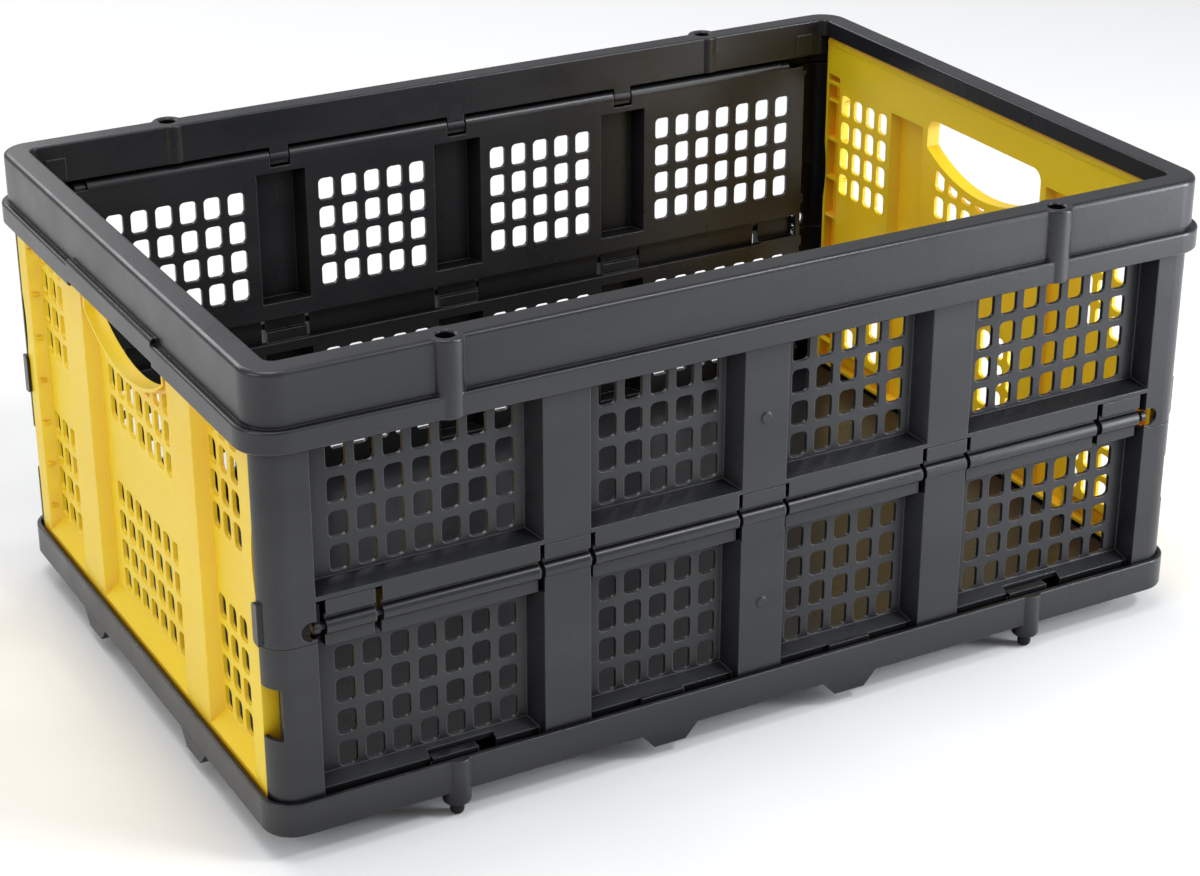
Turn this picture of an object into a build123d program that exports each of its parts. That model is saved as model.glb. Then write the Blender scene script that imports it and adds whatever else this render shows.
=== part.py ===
from build123d import *

import os

# Folding, stacking plastic crate: a black base tray, four hinged half walls and a rim frame,
# with two yellow end panels that swing inwards under the rim.
#
# Millimetres, +Z up. X runs along the long side and Y across. The origin is on the ground
# under the middle of the crate, level with the tips of its four stacking pins.

# ---------------------------------------------------------------- driving dimensions
LENGTH = 600.0            # over the rim band, along X
WIDTH = 400.0             # over the rim band, along Y
HEIGHT = 280.0            # pin tips to the top of the rim

WALL = 2.6                # general wall thickness
GAP = 0.4                 # between neighbouring parts that must not touch

# rim frame
RIM_INSET = 3.8           # the upper skirt stands this far inside the band
RIM_CORNER = 18.0         # outer corner radius of the upper skirt
RIM_TOP_WIDTH = 15.0      # flat top face
RIM_SKIN = 3.0
RIM_ROUND = 2.6
BAND_ROUND = 1.5
BAND_TOP = 250.0
BAND_BOTTOM = 237.0
INNER_SKIRT_BOTTOM = 256.0
END_SKIRT_BOTTOM = 269.0
END_CLEARANCE = 2.6       # the end skirts are cut back by this for the swinging panels
HANDLE_ZONE = 66.0        # half width of the raised stretch of the band
HANDLE_RAISE = 3.0

# base tray
BASE_LENGTH = 594.6
BASE_WIDTH = 394.6
BASE_CORNER = 18.0
SKIRT_BOTTOM = 16.0
SKIRT_TOP = 36.0
FLOOR_TOP = 26.0
LEDGE_TOP = 18.4
FLOOR_X = 282.0           # half size of the raised floor
FLOOR_Y = 178.6
FLOOR_CELLS_X = 10
FLOOR_CELLS_Y = 6
RIB = 2.2
FLOOR_SKIN = 2.4

# feet and stacking pins
FOOT_BOTTOM = 8.0
FOOT_TOP_WIDTH = 36.0
FOOT_BOTTOM_WIDTH = 20.0
FOOT_DEPTH = 12.0
FOOT_X = 60.0             # feet on the long sides
FOOT_Y = 80.0             # feet on the short sides
STACK_X = 190.0           # stacking pins and sockets
STACK_Y = 191.8
PIN_RADIUS = 4.0
COLLAR_RADIUS = 8.0
SOCKET_RADIUS = 5.0
BOSS_RADIUS = 9.5
BOSS_REACH = 2.3          # the boss is drawn out inwards by this much

# long walls
WALL_OUTER = 194.0        # outer plane of posts and pilasters
LATTICE_OUTER = 182.5     # outer plane of the lattice
LATTICE_INNER = 180.0
POST_X = 267.0            # inner edge of a corner post
POST_END = 293.5          # the post's end, along X
POST_CORNER = 14.0
POST_TOP = 246.0
POST_BOTTOM = 19.2
KEEPER_Y = 180.6
NOTCH_X = 287.0           # opening round the outer edge of a lower post
NOTCH_BOTTOM = 72.5
NOTCH_TOP = 103.0
PILASTER_X = 122.5
PILASTER_FACE = 14.0      # half widths
PILASTER_FOOT = 20.0
PILASTER_TOP = 242.0
WINDOW_INNER_X = 60.5     # centres of the lattice windows
WINDOW_OUTER_X = 200.5
COLUMN_PITCH = 15.8
ROW_PITCH = 19.1
ROW_OFFSET = 29.2         # first row from the middle of the wall
HOLE_WIDTH = 11.0
HOLE_HEIGHT = 14.6
HOLE_CORNER = 3.2
ROWS = 4

# wall hinges
WALL_MIDDLE = 136.5       # halfway between the two halves' lattice rows
MID_Y = 190.6             # middle hinge axis
MID_Z = 133.5
PARTING = 126.5           # where the two halves of a corner post meet
EDGE_Y = 184.6            # top and bottom hinge axes
TOP_Z = 249.0
BOTTOM_Z = 24.0
KNUCKLE_RADIUS = 4.8
ROD_RADIUS = 1.9
ROD_BORE = 2.1
ROD_HEAD = 3.3
SHELF_NEAR = 8.4          # lower shelf and both lattices, from the middle axis
STRIP_BOTTOM = 7.6        # flush strip above the knuckles, from the middle axis
STRIP_TOP = 16.5
WEB_BOTTOM = 12.0         # lower edge of the long knuckles' webs, from the middle axis
SHELF_SKIN = 2.4
WEB_INNER = 185.4         # flat webs behind the knuckles
WEB_OUTER = 191.4
MARK_OFFSET = 56.5        # injection point, from the middle of the wall
SHORT_HALF = 13.8
END_KNUCKLE_X = 247.9
SHORT_KNUCKLES = ((0.0, SHORT_HALF), (122.5, SHORT_HALF), (END_KNUCKLE_X, SHORT_HALF))
LONG_KNUCKLES = ((61.0, 44.8), (184.5, 45.5))
TOP_BARREL_X = 247.0
BOTTOM_BARREL_X = 260.0
HOOK_X = (0.0, 122.5)     # rim hooks round the top rod
HOOK_HALF = 6.0
LUG_X = (62.0, 190.0)     # base lugs round the bottom rod
LUG_HALF = 13.5
LUG_SLOT = 12.0           # extra opening beside the lug at a pin

# end panels
PANEL_HALF = 179.3        # half width of the panel
PANEL_OUTER = 293.3       # outer plane of frame and pilasters
PANEL_LATTICE = 286.2     # outer plane of its lattice
PANEL_INNER = 283.8
PANEL_BOTTOM = 28.0
TOE_TOP = 48.0            # where the sloping foot of the panel leaves its lattice
PANEL_SHELF = 238.0       # top of the pilasters
FRAME_TOP = 245.0         # top of the raised side frames
PIVOT_X = 288.0
PIVOT_Z = 264.0
PIVOT_RADIUS = 4.5
TRUNNION_RADIUS = 3.0
TRUNNION_BORE = 3.2
TRUNNION_END = 185.4
FRAME_FACE_Y = 165.0
FRAME_FOOT_Y = 161.0
PANEL_PILASTER_Y = 83.5
PANEL_PILASTER_FACE = 17.0
PANEL_PILASTER_FOOT = 21.5
PANEL_COLUMN_PITCH = 14.6
PANEL_HOLE_WIDTH = 10.0
PANEL_ZONE_Y = 133.4
PANEL_ROW_PITCH = 18.8
PANEL_ROWS_LOW = 57.2
PANEL_ROWS_HIGH = 168.0
SCALLOP_Z = 172.0         # shallow hollow in each side edge
SCALLOP_RADIUS = 90.0
SCALLOP_DEPTH = 2.2
GRIP_HALF = 60.0          # handle opening
GRIP_TOP = 244.0
GRIP_SIDE = 224.0
GRIP_BOTTOM = 206.0
GRIP_CORNER = 8.0
GRIP_WALL = 2.6


# ---------------------------------------------------------------- helpers
def block(x0, x1, y0, y1, z0, z1):
    """Box between two corners."""
    centre = Pos((x0 + x1) / 2, (y0 + y1) / 2, (z0 + z1) / 2)
    return centre * Box(abs(x1 - x0), abs(y1 - y0), abs(z1 - z0))


def upright(points, z0, z1):
    """Prism on an XY outline."""
    face = make_face(Polyline(*points, close=True))
    return Pos(0, 0, z0) * extrude(face, amount=z1 - z0)


def along_x(points, x0, x1):
    """Prism on a YZ outline."""
    face = make_face(Polyline(*points, close=True))
    return extrude(Plane.YZ.offset(x0) * face, amount=x1 - x0)


def rod_x(radius, x0, x1, y, z):
    """Cylinder lying along X."""
    return Pos((x0 + x1) / 2, y, z) * Rot(0, 90, 0) * Cylinder(radius, x1 - x0)


def rod_y(radius, y0, y1, x, z):
    """Cylinder lying along Y."""
    return Pos(x, (y0 + y1) / 2, z) * Rot(90, 0, 0) * Cylinder(radius, y1 - y0)


def both_sides(values):
    """Each value and its mirror image, with zero once."""
    return sorted({sign * value for value in values for sign in (1, -1)})


def joined(shapes):
    """Union of a list of shapes."""
    return shapes[0].fuse(*shapes[1:]).clean() if len(shapes) > 1 else shapes[0]


def cut(shape, tools):
    """Shape less a list of tools."""
    return shape.cut(*tools)


# ---------------------------------------------------------------- rim frame
def rim_rings():
    """Top face, both skirts, ledge and band."""
    upper_length = LENGTH - 2 * RIM_INSET
    upper_width = WIDTH - 2 * RIM_INSET
    opening_length = upper_length - 2 * RIM_TOP_WIDTH
    opening_width = upper_width - 2 * RIM_TOP_WIDTH
    blank = RectangleRounded(upper_length, upper_width, RIM_CORNER)
    opening = RectangleRounded(opening_length, opening_width, 6)
    top = Pos(0, 0, BAND_TOP) * extrude(blank - opening, amount=HEIGHT - BAND_TOP)
    rim_edges = top.edges().filter_by(lambda e: abs(e.center().Z - HEIGHT) < 0.01)
    outer_edges = rim_edges.filter_by(lambda e: max(abs(e.center().X) / opening_length,
                                                    abs(e.center().Y) / opening_width) > 0.502)
    top = fillet(outer_edges, RIM_ROUND)
    inner_edges = top.edges().filter_by(lambda e: abs(e.center().Z - HEIGHT) < 0.01
                                        and abs(e.center().X) < opening_length / 2 + 0.1
                                        and abs(e.center().Y) < opening_width / 2 + 0.1)
    top = fillet(inner_edges, 1.2)
    channel = RectangleRounded(upper_length - 2 * RIM_SKIN, upper_width - 2 * RIM_SKIN,
                               RIM_CORNER - RIM_SKIN)
    channel -= RectangleRounded(opening_length + 2 * RIM_SKIN, opening_width + 2 * RIM_SKIN, 8)
    top -= Pos(0, 0, BAND_TOP) * extrude(channel, amount=HEIGHT - RIM_SKIN - BAND_TOP)
    inner_skirt = RectangleRounded(opening_length + 2 * RIM_SKIN, opening_width + 2 * RIM_SKIN, 8)
    top -= Pos(0, 0, BAND_TOP) * extrude(inner_skirt, amount=INNER_SKIRT_BOTTOM - BAND_TOP)
    for side in (-1, 1):
        end = side * opening_length / 2
        top -= block(end - side * END_CLEARANCE, end + side * (RIM_SKIN + 0.5), -opening_width / 2,
                     opening_width / 2, BAND_TOP, END_SKIRT_BOTTOM)
    corner = RIM_CORNER + RIM_INSET
    band = extrude(RectangleRounded(LENGTH, WIDTH, corner), amount=BAND_TOP - BAND_BOTTOM)
    band = Pos(0, 0, BAND_BOTTOM) * band
    band = fillet(band.edges().group_by(Axis.Z)[-1], BAND_ROUND)
    band = chamfer(band.edges().group_by(Axis.Z)[0], 0.8)
    under_ledge = RectangleRounded(LENGTH - 2 * RIM_SKIN, WIDTH - 2 * RIM_SKIN, corner - RIM_SKIN)
    band -= Pos(0, 0, BAND_BOTTOM) * extrude(under_ledge, amount=BAND_TOP - RIM_SKIN - BAND_BOTTOM)
    skin = RIM_INSET + RIM_SKIN
    hole = RectangleRounded(LENGTH - 2 * skin, WIDTH - 2 * skin, corner - skin)
    band -= Pos(0, 0, BAND_BOTTOM) * extrude(hole, amount=HEIGHT)
    return [top, band]


def handle_stretch(side):
    """The band over a handle stands a little higher than the rest of it."""
    x_in = side * (LENGTH / 2 - RIM_SKIN)
    x_out = side * LENGTH / 2
    face = side * (LENGTH / 2 - RIM_INSET)
    raised = block(face - side, x_out, -HANDLE_ZONE, HANDLE_ZONE,
                   BAND_TOP - RIM_SKIN, BAND_TOP + HANDLE_RAISE)
    outer = raised.faces().sort_by(Axis.X)[-1 if side > 0 else 0]
    raised = chamfer(outer.edges().group_by(Axis.Z)[-1], 1.4)
    opening = upright([(x_in - side * 4, -HANDLE_ZONE), (x_in - side * 4, HANDLE_ZONE),
                       (x_out + side, HANDLE_ZONE), (x_out + side, -HANDLE_ZONE)],
                      BAND_BOTTOM - 1, BAND_BOTTOM + HANDLE_RAISE)
    return raised, opening


def boss(x, y):
    """Socket boss: full height outside the skirts, and above the wall hinge inside."""
    side = 1 if y > 0 else -1
    outline = SlotCenterToCenter(BOSS_REACH, 2 * BOSS_RADIUS, rotation=90)
    middle = Pos(x, y - side * BOSS_REACH / 2, 0)
    tall = middle * Pos(0, 0, BAND_BOTTOM) * extrude(outline, amount=HEIGHT - BAND_BOTTOM)
    edges = tall.edges().filter_by(lambda e: abs(e.center().Z - HEIGHT) < 0.01)
    tall = fillet(edges, 1.2)
    face = side * (WIDTH / 2 - RIM_INSET - RIM_SKIN / 2)
    under = block(x - 15, x + 15, face, face - side * 30, BAND_BOTTOM - 1, INNER_SKIRT_BOTTOM)
    under_band = block(x - 15, x + 15, side * (WIDTH / 2 - RIM_SKIN / 2), face - side,
                       BAND_BOTTOM - 1, BAND_TOP - RIM_SKIN)
    return cut(tall, [under, under_band])


def socket(x, y):
    """Stacking hole right through its boss, with a chamfered mouth."""
    hole = Pos(x, y, (INNER_SKIRT_BOTTOM + HEIGHT) / 2) * Cylinder(SOCKET_RADIUS,
                                                                  HEIGHT - INNER_SKIRT_BOTTOM)
    mouth = Pos(x, y, HEIGHT - 0.4) * Cone(SOCKET_RADIUS, SOCKET_RADIUS + 0.8, 0.8)
    return hole.fuse(mouth)


def hook(x, side):
    """Hook that hangs under the inner skirt and holds the wall's top rod."""
    inner = WIDTH / 2 - RIM_INSET - RIM_TOP_WIDTH
    web = block(x - HOOK_HALF, x + HOOK_HALF, side * inner, side * (EDGE_Y + 4.2),
                TOP_Z, INNER_SKIRT_BOTTOM + 4)
    eye = rod_x(4.2, x - HOOK_HALF, x + HOOK_HALF, side * EDGE_Y, TOP_Z)
    toe = block(x - HOOK_HALF, x + HOOK_HALF, side * (EDGE_Y - 3.4), side * (EDGE_Y - 1),
                TOP_Z - 4.4, TOP_Z)
    return [web, eye.fuse(toe)]


def bearing(side_x, side_y):
    """Plate across the corner of the rim that carries an end panel's trunnion."""
    inner = WIDTH / 2 - RIM_INSET - RIM_TOP_WIDTH
    x_in = LENGTH / 2 - RIM_INSET - RIM_TOP_WIDTH
    x_out = LENGTH / 2 - RIM_INSET - RIM_SKIN / 2
    plate = block(side_x * (x_in - 2), side_x * x_out, side_y * inner, side_y * (inner + RIM_SKIN),
                  INNER_SKIRT_BOTTOM, HEIGHT - RIM_SKIN / 2)
    pad = block(side_x * 259, side_x * 271, side_y * (inner - 0.7), side_y * (inner + 1),
                INNER_SKIRT_BOTTOM + 1.5, INNER_SKIRT_BOTTOM + 15)
    return [plate, pad]


def rim_ribs():
    """Cross ribs in the hollow of the rim."""
    face = WIDTH / 2 - RIM_INSET - RIM_SKIN / 2
    inner = WIDTH / 2 - RIM_INSET - RIM_TOP_WIDTH + RIM_SKIN / 2
    ribs = []
    for side in (-1, 1):
        for x in both_sides((30, 90, 150, 230, 262)):
            ribs.append(block(x - 1, x + 1, side * inner, side * face, 262, HEIGHT - 1.5))
        for y in both_sides((0, 50, 100, 150)):
            end_in = LENGTH / 2 - RIM_INSET - RIM_TOP_WIDTH + RIM_SKIN / 2
            end_out = LENGTH / 2 - RIM_INSET - RIM_SKIN / 2
            ribs.append(block(side * end_in, side * end_out, y - 1, y + 1, 270.5, HEIGHT - 1.5))
    return ribs


def rim_frame():
    """One moulded ring: skirts, band, sockets, rod hooks and trunnion bearings."""
    shapes = rim_rings() + rim_ribs()
    tools = []
    for side in (-1, 1):
        raised, opening = handle_stretch(side)
        shapes.append(raised)
        tools.append(opening)
        for x in both_sides(HOOK_X):
            shapes += hook(x, side)
        tools.append(rod_x(ROD_BORE, -150, 150, side * EDGE_Y, TOP_Z))
    for side_x in (-1, 1):
        for side_y in (-1, 1):
            shapes += bearing(side_x, side_y)
            shapes.append(boss(side_x * STACK_X, side_y * STACK_Y))
            tools.append(socket(side_x * STACK_X, side_y * STACK_Y))
            tools.append(rod_y(TRUNNION_BORE, side_y * 183 - 5, side_y * 183 + 5,
                               side_x * PIVOT_X, PIVOT_Z))
    return cut(joined(shapes), tools)


# ---------------------------------------------------------------- base tray
def foot(width_top, width_bottom, depth, centre, along):
    """Tapered foot under the skirt; along is the direction of its wide side."""
    top, low = width_top / 2, width_bottom / 2
    outline = [(-top, SKIRT_BOTTOM + 1), (-low, FOOT_BOTTOM), (low, FOOT_BOTTOM),
               (top, SKIRT_BOTTOM + 1)]
    if along == "x":
        side = 1 if centre[1] > 0 else -1
        plane = Plane(origin=(centre[0], centre[1], 0), x_dir=(1, 0, 0), z_dir=(0, -1, 0))
        return extrude(plane * make_face(Polyline(*outline, close=True)), amount=side * depth)
    side = 1 if centre[0] > 0 else -1
    plane = Plane(origin=(centre[0], centre[1], 0), x_dir=(0, 1, 0), z_dir=(1, 0, 0))
    return extrude(plane * make_face(Polyline(*outline, close=True)), amount=-side * depth)


def stacking_pin(x, y):
    """Rounded pin, its collar, and the ridge that runs up the skirt."""
    side = 1 if y > 0 else -1
    pin = Pos(x, y, 9) * Cylinder(PIN_RADIUS, 18)
    pin = fillet(pin.edges().sort_by(Axis.Z)[0], 3.0)
    collar = Pos(x, y, (FOOT_BOTTOM + LEDGE_TOP) / 2) * Cylinder(COLLAR_RADIUS,
                                                                LEDGE_TOP - FOOT_BOTTOM)
    collar = fillet(collar.edges().sort_by(Axis.Z)[0], 2.0)
    ridge = Pos(x, y, (FOOT_BOTTOM + SKIRT_TOP) / 2 + 4) * Cylinder(COLLAR_RADIUS,
                                                                   SKIRT_TOP - FOOT_BOTTOM - 8)
    face = side * (BASE_WIDTH / 2 - WALL / 2)
    ridge -= block(x - 10, x + 10, face, face - side * 20, 10, SKIRT_TOP + 1)
    return [pin, collar, ridge]


def base_lug(x, side):
    """Lug round the bottom rod, and the upstand behind the skirt beside it."""
    eye = rod_x(4.2, x - LUG_HALF, x + LUG_HALF, side * EDGE_Y, BOTTOM_Z)
    neck = block(x - LUG_HALF, x + LUG_HALF, side * (EDGE_Y - 4.2), side * (EDGE_Y + 4.2),
                 SKIRT_BOTTOM + 1, BOTTOM_Z)
    upstand = block(x - LUG_HALF, x + LUG_HALF, side * 190.3, side * 192.4,
                    SKIRT_BOTTOM + 1, SKIRT_TOP + 2)
    shapes = [eye, neck, upstand]
    if abs(x) == STACK_X:
        shapes.append(block(x - LUG_HALF, x + LUG_HALF, side * 186.5, side * 191,
                            SKIRT_TOP + 0.4, SKIRT_TOP + 2))
    return shapes


def floor():
    """Raised floor: closed plate stiffened underneath by a grid of ribs."""
    slab = block(-FLOOR_X, FLOOR_X, -FLOOR_Y, FLOOR_Y, SKIRT_BOTTOM, FLOOR_TOP)
    cell_x = 2 * FLOOR_X / FLOOR_CELLS_X
    cell_y = 2 * FLOOR_Y / FLOOR_CELLS_Y
    depth = FLOOR_TOP - SKIRT_BOTTOM - FLOOR_SKIN
    pocket = Pos(0, 0, SKIRT_BOTTOM + depth / 2) * Box(cell_x - RIB, cell_y - RIB, depth)
    return cut(slab, [place * pocket for place in GridLocations(cell_x, cell_y, FLOOR_CELLS_X,
                                                                FLOOR_CELLS_Y)])


def base_tray():
    """One moulded tray: skirt, ledge, floor, feet, pins and rod lugs."""
    shell = extrude(RectangleRounded(BASE_LENGTH, BASE_WIDTH, BASE_CORNER),
                    amount=SKIRT_TOP - SKIRT_BOTTOM)
    shell = Pos(0, 0, SKIRT_BOTTOM) * shell
    shell = fillet(shell.edges().group_by(Axis.Z)[0], 1.6)
    shell = fillet(shell.edges().group_by(Axis.Z)[-1], 0.9)
    inside = RectangleRounded(BASE_LENGTH - 2 * WALL, BASE_WIDTH - 2 * WALL, BASE_CORNER - WALL)
    shell -= Pos(0, 0, LEDGE_TOP) * extrude(inside, amount=SKIRT_TOP)
    shell -= block(-FLOOR_X + 1, FLOOR_X - 1, -FLOOR_Y + 1, FLOOR_Y - 1, SKIRT_BOTTOM - 1,
                   SKIRT_TOP)
    shapes = [shell, floor()]
    tools = []
    for side in (-1, 1):
        for x in both_sides((FOOT_X,)):
            shapes.append(foot(FOOT_TOP_WIDTH, FOOT_BOTTOM_WIDTH, FOOT_DEPTH,
                               (x, side * BASE_WIDTH / 2), "x"))
        for y in both_sides((FOOT_Y,)):
            shapes.append(foot(FOOT_TOP_WIDTH, FOOT_BOTTOM_WIDTH, FOOT_DEPTH,
                               (side * BASE_LENGTH / 2, y), "y"))
        for x in both_sides((STACK_X,)):
            shapes += stacking_pin(x, side * STACK_Y)
        for x in both_sides(LUG_X):
            shapes += base_lug(x, side)
        tools.append(rod_x(ROD_BORE, -220, 220, side * EDGE_Y, BOTTOM_Z))
    return cut(joined(shapes), tools)


# ---------------------------------------------------------------- long walls
def corner_post(side, z0, z1):
    """Corner post of a wall: a bent sheet with a rounded outer corner."""
    y, end = WALL_OUTER, POST_END
    bend = end - POST_CORNER
    outer = [(263, LATTICE_OUTER), (POST_X, y), (bend, y)]
    inner = [(bend, y - WALL), (POST_X + 2.3, y - WALL), (265.4, LATTICE_INNER),
             (262, LATTICE_INNER), (262, LATTICE_OUTER)]
    path = Polyline(*outer)
    path += CenterArc((bend, y - POST_CORNER), POST_CORNER, 0, 90)
    path += Line((end, y - POST_CORNER), (end - WALL, y - POST_CORNER))
    path += CenterArc((bend, y - POST_CORNER), POST_CORNER - WALL, 0, 90)
    path += Polyline(*inner, outer[0])
    post = Pos(0, 0, z0) * extrude(make_face(path), amount=z1 - z0)
    return post if side > 0 else mirror(post, about=Plane.YZ)


def pilaster(x, z0, z1):
    """Hollow pilaster and the recess that opens it towards the inside."""
    y0, y1 = LATTICE_OUTER - 1, WALL_OUTER
    shell = upright([(x - PILASTER_FOOT, y0), (x - PILASTER_FACE, y1),
                     (x + PILASTER_FACE, y1), (x + PILASTER_FOOT, y0)], z0, z1)
    foot_in, face_in = PILASTER_FOOT - 3.0, PILASTER_FACE - 1.8
    hollow = upright([(x - foot_in, LATTICE_INNER - 1), (x - face_in, y1 - WALL),
                      (x + face_in, y1 - WALL), (x + foot_in, LATTICE_INNER - 1)],
                     z0 + WALL, z1 - WALL)
    return shell, hollow


def window_holes(first_row):
    """Lattice holes of half a wall, as one set of cutters."""
    plane = Plane(origin=(0, LATTICE_OUTER + 2, 0), x_dir=(1, 0, 0), z_dir=(0, -1, 0))
    hole = RectangleRounded(HOLE_WIDTH, HOLE_HEIGHT, HOLE_CORNER)
    middle = first_row + (ROWS - 1) * ROW_PITCH / 2
    tools = []
    for x, columns in ((WINDOW_INNER_X, 5), (WINDOW_OUTER_X, 7)):
        for side in (-1, 1):
            places = Pos(side * x, middle, 0) * GridLocations(COLUMN_PITCH, ROW_PITCH,
                                                              columns, ROWS)
            tools += [extrude(plane * place * hole, amount=8) for place in places]
    return tools


def knuckles(centres, low, high):
    """Middle hinge knuckles with the flat web behind them and the flush strip above."""
    shapes = []
    for centre, half in centres:
        for x in both_sides((centre,)):
            shapes.append(rod_x(KNUCKLE_RADIUS, x - half, x + half, MID_Y, MID_Z))
            shapes.append(block(x - half, x + half, WEB_INNER, WEB_OUTER, MID_Z - low, MID_Z + high))
            shapes.append(block(x - half, x + half, WEB_INNER, WALL_OUTER, MID_Z + STRIP_BOTTOM,
                                MID_Z + high))
    return shapes


def hinge_shelf(near, direction, edge):
    """Sloping shelf from the lattice out to an edge plane near the hinge."""
    far = near + direction * SHELF_SKIN
    back = far + direction * 4
    outline = [(LATTICE_INNER, near), (edge, near), (edge, far),
               (LATTICE_OUTER, back), (LATTICE_INNER, back)]
    return along_x(outline, -POST_X, POST_X)


def gate_mark(x, z):
    """Round raised injection point on a pilaster."""
    dot = rod_y(3.4, WALL_OUTER - 1, WALL_OUTER + 0.9, x, z)
    return fillet(dot.edges().sort_by(Axis.Y)[-1], 0.8)


def upper_wall():
    """Upper half of the back wall."""
    bottom = MID_Z + STRIP_TOP
    shapes = [block(-264, 264, LATTICE_INNER, LATTICE_OUTER, MID_Z + SHELF_NEAR, TOP_Z),
              hinge_shelf(bottom, 1, WALL_OUTER), gate_mark(0, WALL_MIDDLE + MARK_OFFSET),
              block(-POST_X, POST_X, LATTICE_INNER, WALL_OUTER, POST_TOP - WALL, POST_TOP),
              rod_x(KNUCKLE_RADIUS - 0.1, -TOP_BARREL_X, TOP_BARREL_X, EDGE_Y, TOP_Z)]
    tools = window_holes(WALL_MIDDLE + ROW_OFFSET)
    for x in both_sides((0, PILASTER_X)):
        shell, hollow = pilaster(x, bottom, PILASTER_TOP)
        shapes.append(shell)
        tools.append(hollow)
    for side in (-1, 1):
        shapes.append(corner_post(side, PARTING + GAP / 2, POST_TOP))
        shapes += keeper(side)
        tools += rod_recess(side)
    shapes += knuckles(LONG_KNUCKLES, WEB_BOTTOM, STRIP_TOP + 1)
    for x in both_sides(HOOK_X):
        tools.append(block(x - HOOK_HALF - 0.8, x + HOOK_HALF + 0.8, LATTICE_INNER - 1, 191,
                           TOP_Z - 6, TOP_Z + 6))
    tools.append(rod_x(ROD_BORE, -300, 300, EDGE_Y, TOP_Z))
    tools.append(rod_x(ROD_BORE, -240, 240, MID_Y, MID_Z))
    tools += head_room(TOP_BARREL_X, EDGE_Y, TOP_Z)
    for x in both_sides((STACK_X,)):
        tools.append(block(x - SOCKET_RADIUS - 1.5, x + SOCKET_RADIUS + 1.5, 186.7, WIDTH / 2,
                           TOP_Z, TOP_Z + 6))
    return cut(joined(shapes), tools)


def keeper(side):
    """Rounded tab on the post that stops the end panel from swinging outwards."""
    near, far = side * (PANEL_OUTER + GAP), side * (POST_END + 1.8)
    low, high = PARTING + GAP / 2, MID_Z + 17
    outline = Pos(KEEPER_Y, (low + high) / 2) * RectangleRounded(6.6, high - low, 2.6)
    tab = extrude(Plane.YZ.offset(min(near, far)) * outline, amount=abs(far - near))
    root = block(side * (POST_END - 2.4), far, 180.0, 184, low, high)
    return [tab, root]


def rod_recess(side):
    """Round opening in the post that shows the middle rod's head."""
    return [rod_y(5.6, 184, 196, side * 270, MID_Z),
            block(side * 260, side * 274, MID_Y - 4.4, MID_Y + 2, MID_Z - 8, MID_Z + 4.4)]


def head_room(x, y, z):
    """Openings for the rod heads just past both ends of a barrel."""
    return [rod_x(ROD_HEAD + GAP, min(side * x, side * (x + 14)), max(side * x, side * (x + 14)),
                  y, z) for side in (-1, 1)]


def lower_wall():
    """Lower half of the back wall."""
    top = MID_Z - SHELF_NEAR
    skirt_foot = 27.0
    slope = along_x([(LATTICE_INNER, 39.5), (LATTICE_OUTER, 42), (190, 37.5), (190, skirt_foot),
                     (187.6, skirt_foot), (187.6, 36.2)], -POST_X, POST_X)
    shapes = [block(-264, 264, LATTICE_INNER, LATTICE_OUTER, BOTTOM_Z, top),
              hinge_shelf(top, -1, WEB_INNER - GAP), slope,
              gate_mark(0, WALL_MIDDLE - MARK_OFFSET),
              rod_x(KNUCKLE_RADIUS - 0.1, -BOTTOM_BARREL_X, BOTTOM_BARREL_X, EDGE_Y, BOTTOM_Z)]
    tools = window_holes(WALL_MIDDLE - ROW_OFFSET - (ROWS - 1) * ROW_PITCH)
    for x in both_sides((0, PILASTER_X)):
        pilaster_top = MID_Z - WEB_BOTTOM - GAP
        shell, hollow = pilaster(x, 30.0, pilaster_top)
        shapes.append(shell)
        shapes.append(block(x - SHORT_HALF, x + SHORT_HALF, LATTICE_OUTER, WALL_OUTER,
                            pilaster_top - 1, MID_Z - 1))
        tools.append(hollow)
    for side in (-1, 1):
        shapes.append(corner_post(side, POST_BOTTOM, PARTING - GAP / 2))
        tools.append(block(side * NOTCH_X, side * (POST_END + 2), 178, WALL_OUTER + 2,
                           NOTCH_BOTTOM, NOTCH_TOP))
        shapes.append(block(side * (END_KNUCKLE_X - SHORT_HALF), side * (END_KNUCKLE_X + SHORT_HALF),
                            LATTICE_INNER, WEB_OUTER, top - 3, top + 1.4))
    shapes += knuckles(SHORT_KNUCKLES, SHELF_NEAR + 1, STRIP_TOP - GAP)
    for x in both_sides(LUG_X):
        tools.append(block(x - LUG_HALF - 0.8, x + LUG_HALF + 0.8, LATTICE_INNER - 1, 193,
                           BOTTOM_Z - 6, BOTTOM_Z + 6))
    for x in both_sides((STACK_X,)):
        tools.append(block(x - LUG_HALF - 0.8, x + LUG_HALF + LUG_SLOT, 185.5, 193,
                           BOTTOM_Z - 6, 40.2))
    tools += head_room(BOTTOM_BARREL_X, EDGE_Y, BOTTOM_Z)
    tools.append(rod_x(ROD_BORE, -300, 300, EDGE_Y, BOTTOM_Z))
    tools.append(rod_x(ROD_BORE, -300, 300, MID_Y, MID_Z))
    return cut(joined(shapes), tools)


# ---------------------------------------------------------------- end panels
def panel_pilaster(y):
    """Raised pilaster of an end panel and the recess behind it."""
    x0, x1 = PANEL_LATTICE - 1, PANEL_OUTER
    foot, face = PANEL_PILASTER_FOOT, PANEL_PILASTER_FACE
    shell = upright([(x0, y - foot), (x1, y - face), (x1, y + face), (x0, y + foot)],
                    PANEL_BOTTOM, PANEL_SHELF)
    hollow = upright([(PANEL_INNER - 1, y - foot + 3), (x1 - WALL, y - face + 2),
                      (x1 - WALL, y + face - 2), (PANEL_INNER - 1, y + foot - 3)],
                     PANEL_BOTTOM + WALL, PANEL_SHELF - WALL)
    return shell, hollow


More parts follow.
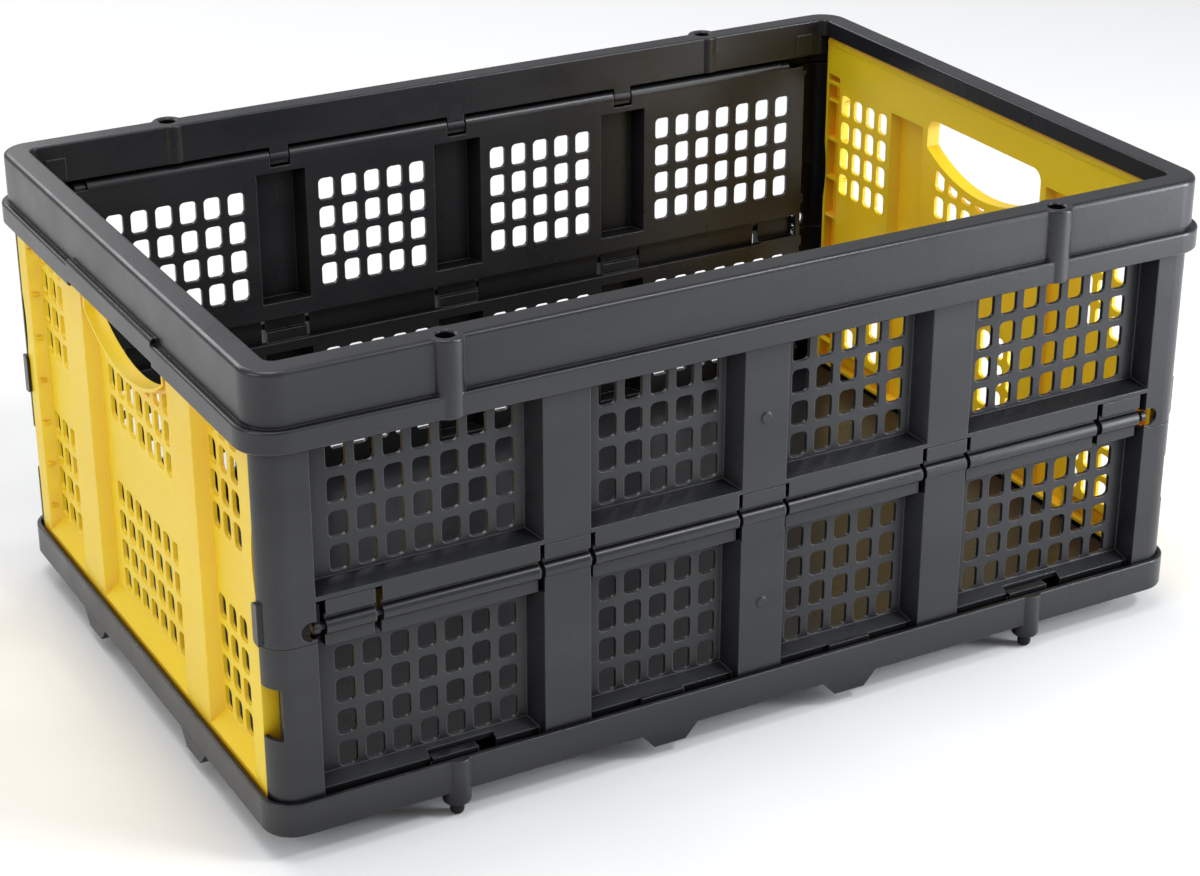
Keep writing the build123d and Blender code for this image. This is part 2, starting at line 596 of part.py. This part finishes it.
def panel_frame(side):
    """Raised side frame of an end panel: a channel open to the inside, with cross ribs."""
    sheet = upright([(PANEL_INNER, side * FRAME_FOOT_Y), (PANEL_LATTICE, side * FRAME_FOOT_Y),
                     (PANEL_OUTER, side * FRAME_FACE_Y), (PANEL_OUTER, side * PANEL_HALF),
                     (PANEL_INNER, side * PANEL_HALF), (PANEL_INNER, side * (PANEL_HALF - WALL)),
                     (PANEL_OUTER - WALL, side * (PANEL_HALF - WALL)),
                     (PANEL_OUTER - WALL, side * (FRAME_FACE_Y + 1.5)),
                     (PANEL_INNER, side * (FRAME_FOOT_Y + 2.5))], PANEL_BOTTOM, FRAME_TOP)
    cap = block(PANEL_INNER, PANEL_OUTER, side * FRAME_FACE_Y, side * PANEL_HALF,
                FRAME_TOP - WALL, FRAME_TOP)
    ribs = [block(PANEL_INNER + 0.6, PANEL_OUTER - 1, side * (FRAME_FOOT_Y + 1),
                  side * (PANEL_HALF - 1), z - 1, z + 1) for z in (56, 84, 112, 140, 168, 196, 224)]
    return [sheet, cap] + ribs


def edge_scallop(side):
    """Shallow finger scallop in the side edge of an end panel."""
    return rod_x(SCALLOP_RADIUS, PANEL_INNER - 1, PANEL_OUTER + 1,
                 side * (PANEL_HALF - SCALLOP_DEPTH + SCALLOP_RADIUS), SCALLOP_Z)


def grip_outline(offset):
    """Handle opening: flat top, straight sides and a bellied lower edge."""
    half = GRIP_HALF + offset
    top, low = GRIP_TOP + offset, GRIP_BOTTOM - offset
    corner = GRIP_CORNER + offset
    path = Line((-half, GRIP_SIDE), (-half, top - corner))
    path += CenterArc((-half + corner, top - corner), corner, 90, 90)
    path += Line((-half + corner, top), (half - corner, top))
    path += CenterArc((half - corner, top - corner), corner, 0, 90)
    path += Line((half, top - corner), (half, GRIP_SIDE))
    path += ThreePointArc((half, GRIP_SIDE), (0, low), (-half, GRIP_SIDE))
    return make_face(path)


def grip_prism(offset, x0, x1):
    """Prism along X on the handle outline."""
    return extrude(Plane.YZ.offset(x0) * grip_outline(offset), amount=x1 - x0)


def panel_holes():
    """Lattice holes of an end panel."""
    hole = RectangleRounded(PANEL_HOLE_WIDTH, HOLE_HEIGHT, HOLE_CORNER)
    plane = Plane.YZ.offset(PANEL_INNER - 2)
    span = (ROWS - 1) * PANEL_ROW_PITCH / 2
    tools = []
    for y, columns, low, rows in ((PANEL_ZONE_Y, 3, PANEL_ROWS_LOW, 4),
                                  (-PANEL_ZONE_Y, 3, PANEL_ROWS_LOW, 4),
                                  (PANEL_ZONE_Y, 3, PANEL_ROWS_HIGH, 4),
                                  (-PANEL_ZONE_Y, 3, PANEL_ROWS_HIGH, 4),
                                  (0, 7, PANEL_ROWS_LOW, 4),
                                  (0, 7, PANEL_ROWS_HIGH, 3)):
        shift = span if rows == 4 else PANEL_ROW_PITCH
        count = columns if columns == 7 else columns + 1
        places = Pos(y, low + shift, 0) * GridLocations(PANEL_COLUMN_PITCH, PANEL_ROW_PITCH,
                                                        count, rows)
        tools += [extrude(plane * place * hole, amount=7) for place in places]
    keep_out = grip_prism(5.2, PANEL_INNER - 4, PANEL_OUTER + 4)
    return [tool - keep_out if tool.bounding_box().max.Z > 195 else tool for tool in tools]


def end_panel():
    """Right-hand end panel."""
    shelf = [(PANEL_INNER, -PANEL_HALF), (PANEL_OUTER, -PANEL_HALF),
             (PANEL_OUTER, PANEL_HALF), (PANEL_INNER, PANEL_HALF)]
    toe = extrude(Plane.XZ * make_face(Polyline(
        (PANEL_INNER, TOE_TOP - 2.5), (PANEL_LATTICE, TOE_TOP), (PANEL_OUTER, TOE_TOP - 9.5),
        (PANEL_OUTER, PANEL_BOTTOM), (PANEL_INNER, PANEL_BOTTOM),
        (PANEL_INNER, PANEL_BOTTOM + WALL), (PANEL_OUTER - WALL, PANEL_BOTTOM + WALL),
        (PANEL_OUTER - WALL, TOE_TOP - 11),
        close=True)), amount=PANEL_HALF, both=True)
    shapes = [block(PANEL_INNER, PANEL_LATTICE, -FRAME_FOOT_Y - 2, FRAME_FOOT_Y + 2,
                    TOE_TOP - 4, PIVOT_Z),
              block(PANEL_INNER, PANEL_LATTICE, -PANEL_HALF, PANEL_HALF, FRAME_TOP - WALL, PIVOT_Z),
              toe, upright(shelf, PANEL_SHELF - WALL, PANEL_SHELF),
              rod_y(PIVOT_RADIUS, -PANEL_HALF, PANEL_HALF, PIVOT_X, PIVOT_Z),
              rod_y(TRUNNION_RADIUS, -TRUNNION_END, TRUNNION_END, PIVOT_X, PIVOT_Z),
              grip_prism(GRIP_WALL, PANEL_INNER, PANEL_OUTER)]
    tools = panel_holes() + [grip_prism(0, PANEL_INNER - 2, PANEL_OUTER + 2)]
    for side in (-1, 1):
        shell, hollow = panel_pilaster(side * PANEL_PILASTER_Y)
        shapes.append(shell)
        tools.append(hollow)
        shapes += panel_frame(side)
        tools.append(edge_scallop(side))
    return cut(joined(shapes), tools)


# ---------------------------------------------------------------- rods
def wall_rod(half, head_half, y, z):
    """Steel hinge rod with a swaged head at each end."""
    rod = rod_x(ROD_RADIUS, -head_half, head_half, y, z)
    heads = []
    for side in (-1, 1):
        head = rod_x(ROD_HEAD, min(side * half, side * head_half),
                     max(side * half, side * head_half), y, z)
        tip = head.edges().sort_by(Axis.X)[-1 if side > 0 else 0]
        heads.append(fillet(tip, 1.2))
    return joined([rod] + heads)


# ---------------------------------------------------------------- build and write
def build():
    """All nodes by name."""
    back_upper = upper_wall()
    back_lower = lower_wall()
    right_panel = end_panel()
    middle = wall_rod(264.8, 268.6, MID_Y, MID_Z)
    top = wall_rod(248.0, 255.0, EDGE_Y, TOP_Z)
    bottom = wall_rod(260.8, 262.6, EDGE_Y, BOTTOM_Z)
    nodes = {"rim_frame": rim_frame(), "base_tray": base_tray()}
    for name, shape in (("upper_wall", back_upper), ("lower_wall", back_lower),
                        ("middle_hinge_rod", middle), ("top_hinge_rod", top),
                        ("bottom_hinge_rod", bottom)):
        nodes["back_" + name] = shape
        nodes["front_" + name] = mirror(shape, about=Plane.XZ)
    nodes["right_end_panel"] = right_panel
    nodes["left_end_panel"] = mirror(right_panel, about=Plane.YZ)
    return nodes


os.makedirs("parts", exist_ok=True)
for node, shape in build().items():
    export_step(shape.solid(), "parts/" + node + ".step")
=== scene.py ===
"""Looks of the folding, stacking crate: plastics, rods, light and camera. Metres, +Z up."""
from math import cos, radians, sin

import bpy
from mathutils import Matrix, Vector

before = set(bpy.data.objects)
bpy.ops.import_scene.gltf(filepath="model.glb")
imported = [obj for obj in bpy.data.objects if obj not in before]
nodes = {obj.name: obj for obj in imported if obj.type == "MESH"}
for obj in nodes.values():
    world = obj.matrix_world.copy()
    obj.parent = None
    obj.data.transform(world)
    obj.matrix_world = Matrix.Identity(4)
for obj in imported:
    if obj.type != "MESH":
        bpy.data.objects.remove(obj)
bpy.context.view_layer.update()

# ---------------------------------------------------------------- driving values
CAMERA_YAW = radians(-29.1)       # from straight ahead, towards the left end
CAMERA_PITCH = radians(24.96)
CAMERA_DISTANCE = 1.641
CAMERA_AIM = Vector((-0.0033, -0.0148, 0.1087))
CAMERA_LENS = 81.3                # focal length, mm
CAMERA_SENSOR = 36                # width, mm
CAMERA_REACH = 100                # the furthest thing it shows

BLACK = (0.0095, 0.0101, 0.0125)
# painted shade for the black plastic's recesses and inner corners
BLACK_PAINTED_SHADE = (0.004, 0.004, 0.0042)
# paler black, for the random flow marks and for the painted highlight on sharp edges
BLACK_FLOW_AND_EDGE_HIGHLIGHT = (0.095, 0.096, 0.105)
YELLOW = (0.92, 0.66, 0.014)
# deeper orange, for the random flow marks and for painted shade in the yellow's recesses
YELLOW_FLOW_AND_SHADE = (0.80, 0.40, 0.010)
STEEL = (0.012, 0.012, 0.013)
STEEL_BARE = (0.030, 0.030, 0.032)
FLOOR_TONES = (0.86, 0.86, 0.86), (0.88, 0.88, 0.88)
SURROUNDINGS = (0.97, 0.98, 1.0)
SURROUNDINGS_STRENGTH = 0.42
SIDE_LIGHT_TINT = (0.90, 0.94, 1.0)

MOULDED_EDGE = 0.0009             # radius of the softened edges of the mouldings
ROD_EDGE = 0.0004
MOULDED_GRAIN = {"strength": 0.08, "distance": 0.0002}
DRAWING_LINES = {"strength": 0.15, "distance": 0.0001}
BLACK_SHADE_REACH = 0.035             # how near the walls of a recess have to be for its painted shade
# how near the walls of a yellow recess have to be for its painted shade
YELLOW_SHADE_REACH = 0.014
EDGE_HIGHLIGHT_SPAN = 0.995, 0.80           # cosines between true and softened normal: no painted edge highlight, strongest painted edge highlight
SHELTER_SAMPLES = 6
EDGE_SAMPLES = 4

FLOOR_RADIUS = 30
FLOOR_CORNERS = 96
CRATE_MIDDLE = (0, 0, 0.15)


# ---------------------------------------------------------------- node helpers
MIX_FACTOR, MIX_FIRST, MIX_SECOND, MIX_RESULT = 0, 6, 7, 2     # a colour Mix node's sockets


class Graph:
    """A material and short ways to add and link its nodes."""

    def __init__(self, name):
        self.material = bpy.data.materials.new(name)
        self.material.use_nodes = True
        self.tree = self.material.node_tree
        self.shader = self.tree.nodes["Principled BSDF"]
        self.place = self.add("ShaderNodeTexCoord").outputs["Object"]

    def add(self, kind, **values):
        """Add a node and set its properties."""
        node = self.tree.nodes.new(kind)
        for key, value in values.items():
            setattr(node, key, value)
        return node

    def link(self, source, target):
        self.tree.links.new(source, target)

    def noise(self, cells, detail=3.0, stretch=(1, 1, 1)):
        """Noise with that many cells a metre; a factor under 1 draws it out along that axis."""
        mapping = self.add("ShaderNodeMapping")
        mapping.inputs["Scale"].default_value = stretch
        self.link(self.place, mapping.inputs["Vector"])
        node = self.add("ShaderNodeTexNoise")
        node.inputs["Scale"].default_value = cells
        node.inputs["Detail"].default_value = detail
        self.link(mapping.outputs["Vector"], node.inputs["Vector"])
        return node.outputs["Fac"]

    def spread(self, source, old, new):
        """Stretch a value from its old range to a new one, clamped at both ends."""
        node = self.add("ShaderNodeMapRange")
        node.inputs["From Min"].default_value, node.inputs["From Max"].default_value = old
        node.inputs["To Min"].default_value, node.inputs["To Max"].default_value = new
        self.link(source, node.inputs["Value"])
        return node.outputs["Result"]

    def mix(self, factor, first, second):
        """Mix two colours by an output; each colour is an output or a plain colour."""
        node = self.add("ShaderNodeMix", data_type="RGBA")
        self.link(factor, node.inputs[MIX_FACTOR])
        for place, colour in ((MIX_FIRST, first), (MIX_SECOND, second)):
            if isinstance(colour, bpy.types.NodeSocket):
                self.link(colour, node.inputs[place])
            else:
                node.inputs[place].default_value = (*colour, 1)
        return node.outputs[MIX_RESULT]

    def rounded(self, radius):
        """Normal with the edges softened by that radius."""
        node = self.add("ShaderNodeBevel", samples=EDGE_SAMPLES)
        node.inputs["Radius"].default_value = radius
        return node.outputs["Normal"]

    def bump(self, height, normal, strength, distance):
        """Raise the surface by an output, on top of a normal."""
        node = self.add("ShaderNodeBump")
        node.inputs["Strength"].default_value = strength
        node.inputs["Distance"].default_value = distance
        self.link(height, node.inputs["Height"])
        self.link(normal, node.inputs["Normal"])
        return node.outputs["Normal"]

    def openness(self, reach):
        """0 in recesses and inner corners, 1 in the open."""
        node = self.add("ShaderNodeAmbientOcclusion", samples=SHELTER_SAMPLES)
        node.inputs["Distance"].default_value = reach
        return node.outputs["AO"]

    def painted_edge_highlight(self, radius, most):
        """Painted highlight: that much on sharp outer edges, 0 elsewhere."""
        true_normal = self.add("ShaderNodeNewGeometry").outputs["Normal"]
        dot = self.add("ShaderNodeVectorMath", operation="DOT_PRODUCT")
        self.link(self.rounded(radius), dot.inputs[0])
        self.link(true_normal, dot.inputs[1])
        return self.spread(dot.outputs["Value"], old=EDGE_HIGHLIGHT_SPAN, new=(0.0, most))

    def set(self, **values):
        """Set or link the shader's sockets by name, with underscores for spaces."""
        for key, value in values.items():
            socket = self.shader.inputs[key.replace("_", " ")]
            if isinstance(value, bpy.types.NodeSocket):
                self.link(value, socket)
            else:
                socket.default_value = value


# ---------------------------------------------------------------- materials
def black_plastic():
    """Charcoal polypropylene: fine grain, faint flow marks, painted shade in recesses (darker
    colour, weaker reflections), painted highlights on sharp edges.
    """
    g = Graph("black_plastic")
    flow = g.noise(cells=9.0, detail=4.0, stretch=(0.5, 0.5, 2.5))
    tone = g.mix(g.spread(flow, old=(0.35, 0.7), new=(0.0, 0.12)), BLACK, BLACK_FLOW_AND_EDGE_HIGHLIGHT)
    openness = g.openness(BLACK_SHADE_REACH)
    # painted shade: recesses and inner corners darkened towards a deeper black
    tone = g.mix(g.spread(openness, old=(0.3, 0.9), new=(1.0, 0.0)), tone, BLACK_PAINTED_SHADE)
    blotch = g.noise(cells=35.0)
    grain = g.noise(cells=1500.0, detail=2.0)
    # painted highlight: sharp outer edges made paler, standing in for light caught on them
    g.set(Base_Color=g.mix(g.painted_edge_highlight(MOULDED_EDGE, most=0.8), tone, BLACK_FLOW_AND_EDGE_HIGHLIGHT),
          Roughness=g.spread(blotch, old=(0.3, 0.7), new=(0.25, 0.33)),
          Normal=g.bump(grain, g.rounded(MOULDED_EDGE), **MOULDED_GRAIN),
          # painted shade on the reflections too: weaker specular in recesses and inner corners
          Specular_IOR_Level=g.spread(openness, old=(0.30, 0.95), new=(0.06, 0.50)))
    return g.material


def yellow_plastic():
    """Yellow polypropylene: satin, a little light passes through, painted shade deepens it
    towards orange in its recesses.
    """
    g = Graph("yellow_plastic")
    flow = g.noise(cells=8.0, detail=4.0, stretch=(0.6, 0.6, 2.0))
    tone = g.mix(g.spread(flow, old=(0.35, 0.7), new=(0.0, 0.25)), YELLOW, YELLOW_FLOW_AND_SHADE)
    # painted shade: recesses and inner corners deepened towards orange
    painted_shade = g.spread(g.openness(YELLOW_SHADE_REACH), old=(0.35, 0.95), new=(1.0, 0.0))
    blotch = g.noise(cells=40.0)
    grain = g.noise(cells=1400.0, detail=2.0)
    g.set(Base_Color=g.mix(painted_shade, tone, YELLOW_FLOW_AND_SHADE),
          Roughness=g.spread(blotch, old=(0.3, 0.7), new=(0.34, 0.44)),
          Normal=g.bump(grain, g.rounded(MOULDED_EDGE), **MOULDED_GRAIN),
          Subsurface_Weight=0.25, Subsurface_Radius=(0.006, 0.0035, 0.0006),
          Subsurface_Scale=1.0, Specular_IOR_Level=0.5)
    return g.material


def hinge_rod():
    """Dark oiled steel wire with fine drawing lines along it."""
    g = Graph("hinge_rod")
    lines = g.noise(cells=900.0, detail=2.0, stretch=(0.02, 1, 1))
    blotch = g.noise(cells=60.0)
    g.set(Base_Color=g.mix(g.spread(lines, old=(0.3, 0.7), new=(0.0, 1.0)), STEEL, STEEL_BARE),
          Metallic=0.25,
          Roughness=g.spread(blotch, old=(0.3, 0.7), new=(0.24, 0.36)),
          Normal=g.bump(lines, g.rounded(ROD_EDGE), **DRAWING_LINES))
    return g.material


def studio_floor():
    """Pale matt studio floor."""
    g = Graph("studio_floor")
    g.set(Base_Color=g.mix(g.noise(cells=3.0), *FLOOR_TONES), Roughness=0.9,
          Specular_IOR_Level=0.2)
    return g.material


def dress_nodes():
    """Give every CAD node the material of its kind, by the end of its name."""
    finishes = {"rod": hinge_rod(), "panel": yellow_plastic(), "": black_plastic()}
    for name, node in nodes.items():
        kind = next(ending for ending in finishes if name.endswith(ending))
        node.data.materials.clear()
        node.data.materials.append(finishes[kind])


# ---------------------------------------------------------------- studio
def softbox(name, position, size, watts, aim=CRATE_MIDDLE, colour=(1, 1, 1)):
    """Rectangular area light aimed at a point."""
    data = bpy.data.lights.new(name, "AREA")
    data.shape = "RECTANGLE"
    data.size, data.size_y = size
    data.energy = watts
    data.color = colour
    light = bpy.data.objects.new(name, data)
    light.location = position
    direction = Vector(aim) - Vector(position)
    light.rotation_euler = direction.to_track_quat("-Z", "Y").to_euler()
    bpy.context.scene.collection.objects.link(light)


def studio():
    """Pale floor, white surroundings and five softboxes."""
    bpy.ops.mesh.primitive_circle_add(vertices=FLOOR_CORNERS, radius=FLOOR_RADIUS,
                                      fill_type="NGON")
    floor = bpy.context.object
    floor.name = "studio_floor"
    floor.data.materials.append(studio_floor())
    world = bpy.data.worlds.new("studio")
    bpy.context.scene.world = world
    world.use_nodes = True
    background = world.node_tree.nodes["Background"]
    background.inputs["Color"].default_value = (*SURROUNDINGS, 1)
    background.inputs["Strength"].default_value = SURROUNDINGS_STRENGTH
    softbox("top_softbox", position=(-0.3, 0.1, 2.4), size=(1.8, 1.2), watts=26)
    softbox("left_softbox", position=(-2.3, -0.5, 1.3), size=(1.3, 1.0), watts=14)
    softbox("right_softbox", position=(1.2, -1.0, 0.40), size=(0.4, 0.8), watts=20,
            aim=(0.2, 0, 0.15), colour=SIDE_LIGHT_TINT)
    softbox("key_softbox", position=(1.1, -1.3, 1.9), size=(0.5, 0.3), watts=17)
    softbox("back_softbox", position=(-0.5, 2.3, 1.6), size=(2.0, 0.7), watts=20)


def camera():
    """Camera at its yaw, pitch and distance round the point that it aims at."""
    data = bpy.data.cameras.new("camera")
    data.lens = CAMERA_LENS
    data.sensor_width = CAMERA_SENSOR
    data.clip_end = CAMERA_REACH
    view = bpy.data.objects.new("camera", data)
    back = Vector((sin(CAMERA_YAW) * cos(CAMERA_PITCH), -cos(CAMERA_YAW) * cos(CAMERA_PITCH),
                   sin(CAMERA_PITCH)))
    view.location = CAMERA_AIM + back * CAMERA_DISTANCE
    view.rotation_euler = back.to_track_quat("Z", "Y").to_euler()
    bpy.context.scene.collection.objects.link(view)
    bpy.context.scene.camera = view


dress_nodes()
studio()
camera()
bpy.context.scene.view_settings.view_transform = "Standard"
